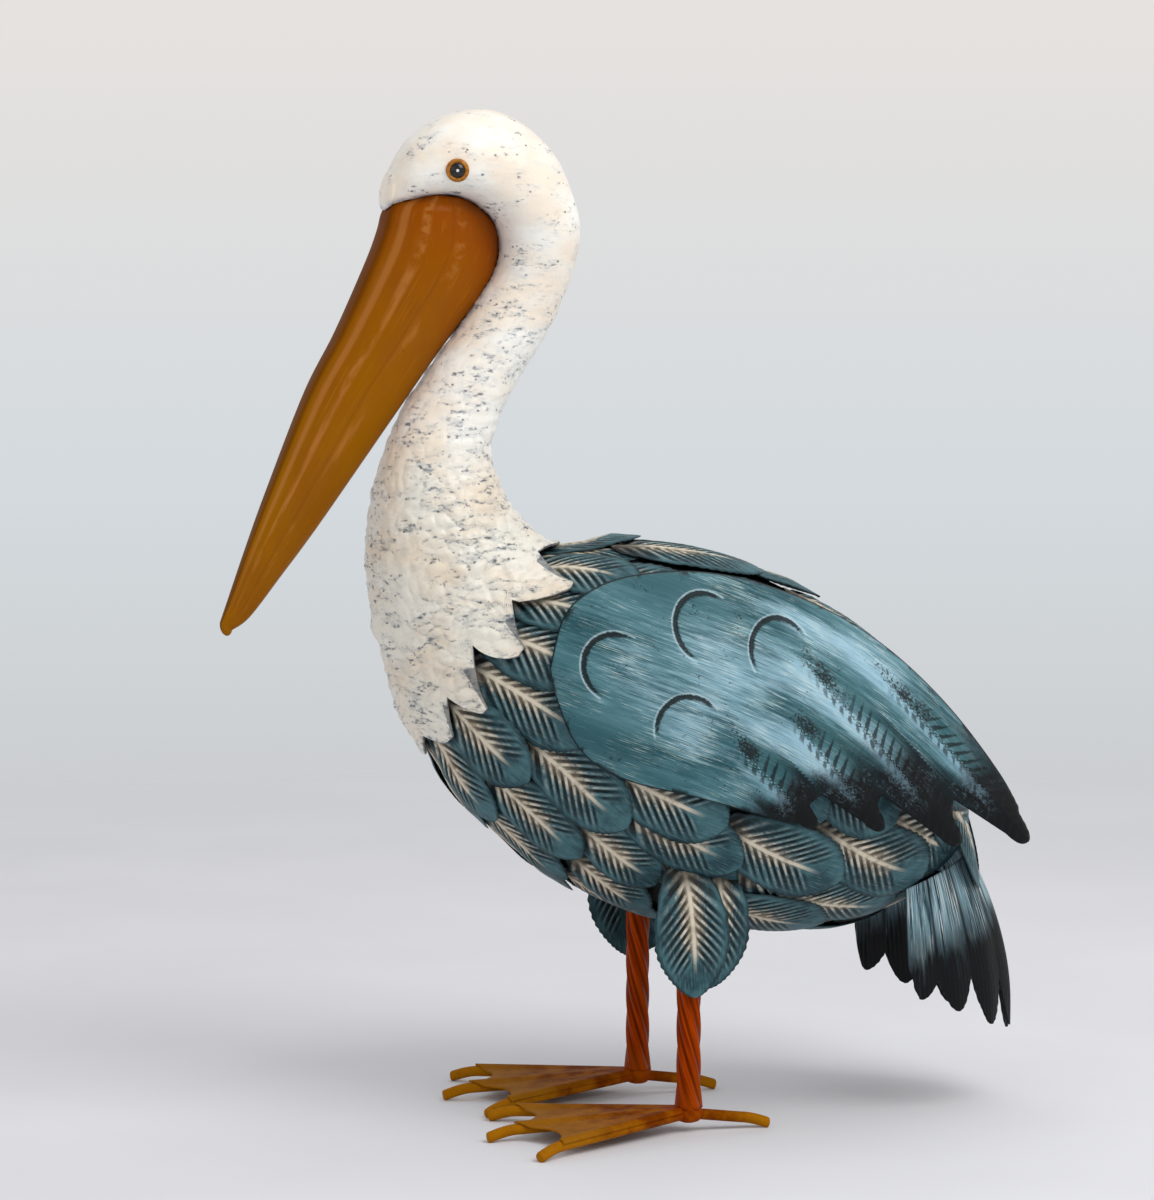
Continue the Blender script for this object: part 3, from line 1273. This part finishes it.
# Paints
def neckEnamel():
    paint = Paint("hammered white enamel", {
        "IOR": 1.5, "Coat Roughness": 0.18, "Specular IOR Level": 0.35, "Coat IOR": 1.4,
    })
    wide = paint.noise(paint.object(42, 42, 30), 3, 0.55)
    small = paint.noise(paint.object(9, 9, 5), 3, 0.6)
    paint.ground(wide.within(0.4, 0.66), ink(246, 244, 236), ink(243, 230, 212))
    paint.coat(small.within(0.5, 0.75) * 0.4, ink(208, 213, 214))
    clump = paint.noise(paint.object(17, 17, 10), 2, 0.5)
    dash = paint.noise(paint.object(6, 6, 2.1), 3, 0.6)
    blot = paint.noise(paint.object(2.8, 2.8, 1.6), 3, 0.6)
    crease = paint.mark("crease")
    loose = dash.within(0.54, 0.68) * clump.within(0.5, 0.64)
    folded = (dash * 0.65 + blot * 0.5).within(0.54, 0.74) * clump.within(0.34, 0.48)
    folded = folded * crease.within(0.15, 0.7)
    dots = paint.cells(paint.object(7, 7, 5.6)).within(0.15, 0.08) * clump.within(0.44, 0.54)
    haze = paint.noise(paint.object(7, 7, 3.2), 4, 0.7).within(0.52, 0.7) * clump.within(0.42, 0.62)
    haze = haze.most(crease.within(0.1, 0.9) * clump.within(0.36, 0.6) * 0.9)
    paint.coat(haze * 0.48, ink(146, 160, 176))
    soft = loose.most(folded)
    paint.coat(soft * 0.72, ink(92, 106, 124))
    paint.coat((soft * blot.within(0.48, 0.62)).most(dots) * 0.75, ink(44, 54, 66))
    rim = paint.mark("rim")
    stain = rim.within(4.0, 0.6) * (small * 0.5 + blot * 0.5).within(0.44, 0.6)
    paint.coat(stain * 0.7, ink(104, 120, 138))
    paint.coat(rim.within(0.8, 0.3) * 0.7, ink(62, 74, 88))
    joint = paint.mark("joint")
    paint.coat(joint.within(5.5, 0.8) * small.within(0.35, 0.6) * 0.6, ink(128, 142, 168))
    paint.coat(joint.within(1.2, 0.4) * dash.within(0.44, 0.52), ink(24, 26, 28))
    paint.coat(paint.mark("chest") * (small * 0.5 + 0.25), ink(216, 210, 196), "MULTIPLY")
    grain = paint.noise(paint.object(2.6, 2.6, 1.6), 3, 0.6)
    paint.bump(grain * 0.5 + small - soft * 0.6, 0.5, 0.6)
    return paint.dry(soft * 0.2 + small * 0.16 + 0.26, wide * 0.35)


def billLacquer():
    paint = Paint("ochre bill lacquer", {
        "Coat Roughness": 0.12, "IOR": 1.45, "Specular IOR Level": 0.12,
        "Specular Tint": ink(255, 190, 120), "Coat IOR": 1.25, "Coat Tint": ink(255, 236, 214),
    })
    drop, depth = paint.marks("drop", "depth")
    cloud = paint.noise(paint.object(30, 30, 60), 3, 0.5)
    paint.ground(drop.within(0.12, 0.72), ink(144, 71, 0), ink(145, 91, 0))
    paint.coat(cloud.within(0.42, 0.68) * 0.4, ink(126, 70, 0))
    paint.coat(depth.within(0.6, 0.98) * drop.within(0.6, 0.2) * 0.5, ink(138, 62, 0))
    streak = paint.noise(paint.skin(1.6, 30), 3, 0.6)
    broken = paint.noise(paint.skin(9, 16), 3, 0.6)
    glow = abs(depth - 0.13).within(0.045, 0.012) * 0.5
    glow = glow.most(abs(depth - 0.3).within(0.055, 0.015) * broken.within(0.38, 0.6) * 0.6)
    glow = glow.most(abs(depth - 0.62).within(0.07, 0.02) * broken.within(0.46, 0.68) * 0.5)
    paint.coat(glow * drop.within(1.0, 0.7), ink(178, 118, 58))
    paint.coat(streak.within(0.56, 0.72) * 0.2, ink(186, 124, 40))
    strip = depth.within(0.075, 0.02) * (streak * 0.4 + 0.6)
    paint.coat(strip * 0.85, ink(92, 44, 0))
    line = abs(depth - 0.535).within(0.018, 0.004) * streak.within(0.35, 0.6)
    paint.coat(line * 0.35, ink(112, 58, 2))
    spots = paint.cells(paint.object(23)).within(0.05, 0.03)
    paint.coat(spots * 0.5, ink(82, 40, 8))
    paint.bump(paint.noise(paint.object(14, 14, 26), 3, 0.5), 0.7, 0.5)
    gloss = (cloud.within(0.3, 0.6) * 0.2 + 0.12) * depth.within(0.03, 0.12)
    return paint.dry(cloud * 0.2 + strip * 0.3 + 0.32, gloss)


def wingPaint():
    paint = Paint("brushed teal wing paint", {"IOR": 1.45, "Specular IOR Level": 0.22})
    wide = paint.noise(paint.skin(64, 24), 3, 0.55)
    bristle = paint.noise(paint.skin(15, 0.5), 4, 0.7)
    brush = paint.noise(paint.skin(36, 2.4), 3, 0.6)
    groove, rim, light = paint.marks("groove", "rim", "light")
    along, run, above, below = paint.marks("finger", "fingerRun", "above", "below")
    off = above.least(below)
    fine = paint.noise(paint.object(1.5), 4, 0.7)
    clump = paint.noise(paint.object(12), 2, 0.5)
    wobble = paint.noise(paint.object(6), 3, 0.6)
    patchy = paint.noise(paint.skin(40, 20), 3, 0.6)
    paint.ground(wide.within(0.34, 0.6), ink(30, 76, 84), ink(70, 114, 122))
    paint.coat(brush.within(0.42, 0.66) * 0.5, ink(104, 148, 158))
    onFinger = along.within(-0.1, 0.25)
    band = below.within(0.0, 1.6) * below.within(10.5, 2.5) * onFinger * along.within(0.95, 0.6)
    lighter = wide * 0.3 + patchy * 0.4 + brush * 0.3 + bristle * 0.45 + band * 0.22 + light * 1.15
    paint.coat(lighter.within(0.68, 1.12) * 0.76, ink(164, 202, 220))
    paint.coat((light * -1.0 + brush * 0.2).within(0.1, 0.5) * 0.75, ink(22, 68, 76))
    scratch = (bristle * 0.75 + patchy * 0.3 + light * 0.12).within(0.555, 0.66)
    paint.coat(scratch * 0.6, ink(196, 214, 208))
    paint.coat(bristle.within(0.44, 0.3) * 0.55, ink(20, 62, 72))
    specks = fine.within(0.58, 0.66) * clump.within(0.56, 0.64)
    upper, under = above.within(13.9, 13.5), below.within(13.9, 13.5)
    paint.coat(upper * along.within(0.1, 0.35) * off.within(0.4, 2) * 0.45, ink(30, 76, 80))
    beat = ((run + off * paint.mark("lean")) * (1 / wing["strokePitch"]) + wobble * 0.35).wave()
    barb = (beat * 0.9 + fine * 0.55 + wobble * 0.4 - off * 0.035).within(0.76, 0.98)
    barb = barb * off.within(0.3, 1.2) * off.within(12, 8) * along.within(0.2, 0.42) * upper
    dab = (beat * 0.6 + fine * 0.5 + wobble * 0.8).within(0.88, 1.04) * under
    dab = dab * off.within(0.5, 1.4) * off.within(4.8, 2.8) * along.within(0.08, 0.3)
    patch = (clump * 0.4 + fine * 0.75 - abs(along - 0.22) * 0.9).within(0.46, 0.6)
    patch = patch * above.within(10, 6) * above.within(0.2, 1.4) * along.within(-0.1, 0.1)
    dark = specks.most(barb * 0.9).most(dab * 0.8).most(patch)
    paint.coat(dark * 0.92, ink(5, 13, 16))
    vein = off.within(0.8, 0.3) * along.within(0.1, 0.3) * bristle.within(0.3, 0.5)
    paint.coat(vein * 0.7, ink(190, 208, 214))
    lower = under * 0.07 - upper * 0.02
    burn = along + patchy * 0.35 + bristle * 0.3 + fine * 0.16 - band * 0.06 + lower
    paint.coat(burn.within(0.9, 1.09), ink(2, 5, 7))
    shade = off.within(8, 13) * along.within(0.3, 0.62)
    paint.coat(shade * 0.6, ink(6, 24, 30))
    ghost = (bristle * 0.7 + fine * 0.6 + wobble * 0.4 + band * 0.2).within(0.88, 1.12)
    ghost = ghost * along.within(0.86, 0.7) * along.within(0.5, 0.65)
    paint.coat(ghost * 0.45, ink(126, 156, 170))
    ends = paint.mark("arc")
    outer = groove.within(1.0, 1.5) * groove.within(2.7, 1.9) * paint.mark("outside")
    paint.coat(outer * bristle.within(0.3, 0.5) * 0.55, ink(192, 214, 222))
    cut = (groove + fine * 2.4 + wobble * 1.2 - ends * 0.8).within(2.8, 1.9)
    cut = cut * (wobble * 0.7 + ends).within(0.25, 0.6)
    paint.coat(cut * 0.92, ink(8, 15, 18))
    edge = rim.within(1.0, 0.35)
    dabs = (rim + fine * 2).within(4.2, 1.6) * clump.within(0.55, 0.62)
    paint.coat(edge.most(dabs) * 0.9, ink(6, 14, 18))
    paint.bump(bristle * 0.7 + fine * 0.6 - specks - cut, 0.45, 0.7)
    return paint.dry(bristle * 0.25 + fine * 0.12 + 0.26)


def featherPaint():
    paint = Paint("washed feather paint", {"IOR": 1.45, "Specular IOR Level": 0.18})
    rib, ribbed, reach = paint.marks("rib", "ribbed", "reach")
    along, across, tone = paint.marks("along", "across", "tone")
    wide = paint.noise(paint.object(14), 3, 0.55)
    fine = paint.noise(paint.object(1.6), 4, 0.65)
    streak = paint.noise(paint.skin(9, 0.9), 4, 0.6)
    smear = paint.noise(paint.object(5), 3, 0.6)
    teal = paint.blend(wide.within(0.35, 0.65), ink(38, 68, 76), ink(66, 104, 112))
    teal = paint.blend(streak.within(0.48, 0.72) * 0.5, teal, ink(104, 134, 136))
    dull = streak.within(0.44, 0.26) * along.within(0.55, 0.9) * 0.6
    teal = paint.blend(dull, teal, ink(14, 32, 36))
    tan = paint.blend(smear.within(0.36, 0.66), ink(140, 126, 106), ink(196, 186, 166))
    near = across.within(13.5, 1.0) * along.within(0.86, 0.45)
    wash = near * 1.05 + (streak - 0.5) * 0.5 + (smear - 0.5) * 0.7 + tone * 0.35 - 0.38
    paint.ground(wash.within(0.08, 0.85), teal, tan)
    crest = rib.within(0.62, 1.0) * ribbed * (near * 0.76 + 0.22)
    crest = crest * (smear * 0.8 + streak * 0.4).within(0.4, 0.75)
    paint.coat(crest, ink(222, 218, 204))
    slot = (0.66 - rib - reach * 0.12 + (streak - 0.5) * 0.5 + (smear - 0.5) * 0.5).within(0.0, 0.32)
    slot = slot * ribbed.within(0.0, 0.6) * (across.within(1, 5) * 0.3 + 0.67)
    worn = (wide * 0.6 + smear * 0.4).within(0.36, 0.58) * 0.4 + 0.6
    slot = slot * worn * (reach.within(0.92, 0.42) * 0.42 + 0.58)
    paint.coat(slot, ink(6, 14, 18))
    shaft = across.within(1.5, 0.5) * along.within(0.84, 0.6)
    paint.coat(shaft * (smear.within(0.3, 0.5) * 0.5 + 0.45), ink(214, 204, 184))
    paint.coat(reach.within(0.84, 1.0) * 0.6, ink(14, 24, 26))
    paint.coat(along.within(0.24, 0.04) * 0.8, ink(8, 12, 14))
    paint.bump(streak + fine * 0.6, 0.35, 0.6)
    return paint.dry(fine * 0.25 + 0.34)


def tailPaint():
    paint = Paint("brushed tail paint", {"IOR": 1.45, "Specular IOR Level": 0.2})
    down, offTip = paint.marks("down", "offTip")
    bristle = paint.noise(paint.skin(0.9, 34), 4, 0.65)
    brush = paint.noise(paint.skin(4, 46), 3, 0.55)
    wide = paint.noise(paint.object(18, 18, 26), 3, 0.5)
    paint.ground(brush.within(0.36, 0.64), ink(30, 62, 72), ink(128, 166, 180))
    paint.coat(bristle.within(0.48, 0.66) * 0.9, ink(214, 226, 226))
    paint.coat(bristle.within(0.46, 0.3) * 0.8, ink(10, 24, 30))
    burn = (down + brush * 0.5 + bristle * 0.25 + wide * 0.25 - 0.5).within(0.2, 0.52)
    paint.coat(burn, ink(2, 5, 7))
    ghost = bristle.within(0.58, 0.72) * offTip.within(0.7, 0.1) * down.within(1.0, 0.5)
    paint.coat(ghost * 0.45, ink(70, 98, 106))
    paint.coat(offTip.within(0.84, 0.98) * 0.85, ink(3, 6, 8))
    paint.bump(bristle, 0.4, 0.6)
    return paint.dry(bristle * 0.3 + 0.25)


def barPaint():
    paint = Paint("burnt orange bar paint", {
        "IOR": 1.4, "Specular IOR Level": 0.12, "Specular Tint": ink(255, 150, 80),
        "Coat Roughness": 0.15, "Coat IOR": 1.25,
    })
    flute, rise = paint.marks("flute", "rise")
    streak = paint.noise(paint.skin(1.8, 40), 4, 0.6)
    wide = paint.noise(paint.object(16, 16, 30), 3, 0.55)
    paint.ground(streak.within(0.32, 0.7), ink(112, 32, 0), ink(178, 66, 0))
    paint.coat(wide.within(0.5, 0.72) * 0.5, ink(136, 56, 2))
    paint.coat(flute.within(-0.2, -0.95) * 0.6, ink(66, 20, 0))
    paint.coat(rise.within(34, 14) * 0.4, ink(150, 66, 6))
    paint.bump(streak + wide, 0.5, 0.5)
    return paint.dry(streak * 0.25 + 0.25, wide * 0.15)


def footPaint(name, pale, dark, worn):
    paint = Paint(name, {
        "IOR": 1.35, "Specular IOR Level": 0.08, "Specular Tint": ink(255, 180, 90),
        "Coat Roughness": 0.2, "Coat IOR": 1.2,
    })
    reach = paint.mark("reach")
    wide = paint.noise(paint.object(13), 3, 0.55)
    fine = paint.noise(paint.object(2.2), 4, 0.6)
    paint.ground(wide.within(0.36, 0.66), dark, pale)
    paint.coat((reach + wide * 0.5).within(0.55, 1.15) * 0.8, worn)
    paint.coat(fine.within(0.58, 0.74) * 0.4, ink(74, 34, 4))
    paint.coat(reach.within(0.25, 0.02) * 0.7, ink(140, 52, 2))
    paint.bump(wide + fine * 0.4, 0.5, 0.5)
    return paint.dry(fine * 0.25 + 0.48, wide * 0.06)


def amberPaint():
    paint = Paint("amber eye ring", {
        "IOR": 1.45, "Coat Weight": 0.3, "Coat Roughness": 0.1, "Specular IOR Level": 0.2,
    })
    grain = paint.noise(paint.object(2), 3, 0.6)
    paint.ground(grain.within(0.35, 0.7), ink(142, 84, 8), ink(188, 122, 30))
    return paint.dry(grain * 0.2 + 0.2)


def beadPaint():
    paint = Paint("black eye bead", {
        "IOR": 1.45, "Coat Weight": 0.5, "Coat Roughness": 0.05, "Coat IOR": 1.3,
    })
    grain = paint.noise(paint.object(1.5), 2, 0.5)
    paint.ground(grain.within(0.3, 0.7), ink(3, 3, 5), ink(10, 10, 14))
    paint.coat(paint.mark("core").within(0.95, 0.6), ink(226, 224, 216))
    return paint.dry(grain * 0.1 + 0.1)


def bodyPaint():
    paint = Paint("dark body metal", {"IOR": 1.45, "Specular IOR Level": 0.15})
    wide = paint.noise(paint.object(11), 3, 0.6)
    paint.ground(wide.within(0.35, 0.7), ink(4, 7, 9), ink(18, 28, 32))
    paint.bump(wide, 0.6, 0.4)
    return paint.dry(wide * 0.3 + 0.4)


# Studio: pale floor that fades into the pale room, soft lights, and the camera
studio = {
    "target": (-0.027, 0.0, 0.287), "azimuth": math.radians(-13.5), "elevation": math.radians(4.3),
    "distance": 2.2, "lens": 120, "sensor": 36,
    "floorRadius": 3.0, "fadeFrom": 800, "fadeTo": 2050,
    "lights": [                      # name, right, up, towards the camera, width, power
        ("key", 1.15, 1.5, 1.15, 1.5, 28.5),
        ("fill", -1.6, 0.7, 1.4, 1.6, 2.5),
        ("top", 0.3, 2.0, -0.5, 2.4, 9.5),
    ],
    "room": [                        # colours from straight down to straight up
        (0.0, ink(205, 208, 211)), (0.445, ink(205, 208, 211)), (0.478, ink(212, 218, 222)),
        (0.535, ink(230, 226, 223)), (0.85, ink(186, 187, 190)),
    ],
}


def placeCamera(target, back):
    camera = addObject("camera", bpy.data.cameras.new("camera"))
    camera.data.lens = studio["lens"]
    camera.data.sensor_width = studio["sensor"]
    camera.location = target + back * studio["distance"]
    camera.rotation_euler = (-back).to_track_quat("-Z", "Y").to_euler()
    bpy.context.scene.camera = camera


def placeLights(target, back, right):
    for name, aside, up, near, width, power in studio["lights"]:
        lamp = bpy.data.lights.new(name, "AREA")
        lamp.shape = "SQUARE"
        lamp.size = width
        lamp.energy = power
        light = addObject(name, lamp)
        light.location = target + right * aside + Vector((0, 0, up)) + back * near
        light.rotation_euler = (light.location - target).to_track_quat("Z", "Y").to_euler()


def paintRoom():
    world = bpy.data.worlds.new("pale room")
    world.use_nodes = True
    nodes = Nodes(world.node_tree, "Background")
    there = nodes.add("ShaderNodeTexCoord", output="Generated")
    height = nodes.add("ShaderNodeSeparateXYZ", None, [there], "Z") * 0.5 + 0.5
    nodes.feed("Color", nodes.add("ShaderNodeValToRGB", {"stops": studio["room"]}, [height], "Color"))
    bpy.context.scene.world = world
    bpy.context.scene.view_settings.view_transform = "Standard"


def layFloor():
    bm = bmesh.new()
    bmesh.ops.create_circle(bm, cap_ends=True, segments=64, radius=studio["floorRadius"])
    mesh = meshOf("floor", bm)
    paint = Paint("pale floor", {"Specular IOR Level": 0.2})
    wide = paint.noise(paint.object(260), 3, 0.5)
    paint.ground(wide.within(0.3, 0.7), ink(225, 225, 229), ink(230, 230, 233))
    here = paint.object(1)
    reach = paint.add("ShaderNodeVectorMath", {"operation": "LENGTH"}, [here], "Value")
    paint.feed("Alpha", reach.within(studio["fadeTo"], studio["fadeFrom"]))
    mesh.materials.append(paint.dry(wide * 0.1 + 0.7))
    floor = addObject("floor", mesh)


def buildStudio():
    target = Vector(studio["target"])
    side, front = math.sin(studio["azimuth"]), math.cos(studio["azimuth"])
    level = math.cos(studio["elevation"])
    back = Vector((side * level, -front * level, math.sin(studio["elevation"])))
    placeCamera(target, back)
    placeLights(target, back, Vector((front, side, 0)))
    paintRoom()
    layFloor()


# The making
random.seed(41)
buildStudio()
print("studio")

bodyMesh = weld(layGrid("body", egg["columns"], egg["rows"], placeEgg))
addPiece("body_egg", bodyMesh, bodyPaint(), "body", "body")
print("body")

billMesh = weld(layGrid("bill", bill["columns"], bill["rows"] + 2 * bill["capRows"], placeBill))
billTree = treeOf(billMesh)
neckMesh = weld(layGrid("neck", neck["columns"], len(neckRows()) - 1, placeNeck))
hammer(neckMesh)
joint = [billTree.find_nearest(Vector(point), 8.0)[3] for point in readPoints(neckMesh)]
addMarks(neckMesh, {"joint": np.array([8.0 if gap is None else gap for gap in joint])})
onEye = eyePlace(treeOf(neckMesh))
addPiece("neck_and_head_shell", neckMesh, neckEnamel(), "neck", "neck_and_head")
addPiece("bill_blade", billMesh, billLacquer(), "bill", "bill")
print("neck, head and bill")

addPair("eye_ring", turned("ring", ringProfile(), onEye), amberPaint(), "eye", "eye")
addPair("eye_bead", turned("bead", beadProfile(), onEye), beadPaint(), "eye")
print("eyes")

addPair("wing_sheet", wingSheet(), wingPaint(), "wing", "wing", wall=wing["wall"])
tailMesh = layGrid("tail", tail["columns"], tail["rows"], placeTail)
weld(tailMesh, closed=False, outward=lambda centre: (centre[0] - tail["x"], centre[1], 0))
addPiece("tail_fan", tailMesh, tailPaint(), "tail", "tail", wall=tail["wall"])
print("wings and tail")

coat = Coat()
featherWash = featherPaint()
layers = [layFeather(coat, row) for row in feathers]
coat.even()
for row, lifts in zip(feathers, layers):
    tone, seed = random.random(), random.random()
    if "back" in row[0]:
        tone += plume["backTone"]
    addLeaf(row[0], pressFeather(coat, row, lifts, tone, seed), featherWash, row[2] % 180 == 0)
for row in hangingFeathers:
    tone = hanging["coverTone"] if row[0].startswith("_") else hanging["tone"]
    addLeaf(row[0], hangFeather(row, tone, random.random()), featherWash, row[1][1] == 0)
print("feathers")

legMesh = weld(layGrid("leg", leg["columns"], leg["rows"], placeLeg))
otherLeg = legMesh.copy()
writePoints(otherLeg, readPoints(otherLeg) + (0, 2 * leg["y"], 0))   # both legs twist the same way
bar = barPaint()
addPiece("left_leg_bar", legMesh, bar, "leg", "left_leg")
addPiece("right_leg_bar", otherLeg, bar, "leg", "right_leg")
rods = [rodMesh(toe["spread"] * side, toe["front"]) for side in (0, 1, -1)]
rods.append(rodMesh(math.pi, toe["rear"]))
toePaint = footPaint("ochre toe paint", ink(158, 90, 2), ink(112, 48, 0), ink(166, 108, 12))
webPaint = footPaint("ochre web paint", ink(150, 84, 2), ink(112, 50, 0), ink(152, 100, 20))
addPair("foot_rods", joinMeshes("toes", rods + [ankleMesh()]), toePaint, "toes", "toes")
webMesh = layGrid("web", web["columns"], web["rows"], placeWeb)
weld(webMesh, closed=False, outward=lambda centre: (0, 0, 1))
addPair("web_sheet", webMesh, webPaint, "web", "web", wall=web["wall"])
print("legs and feet")
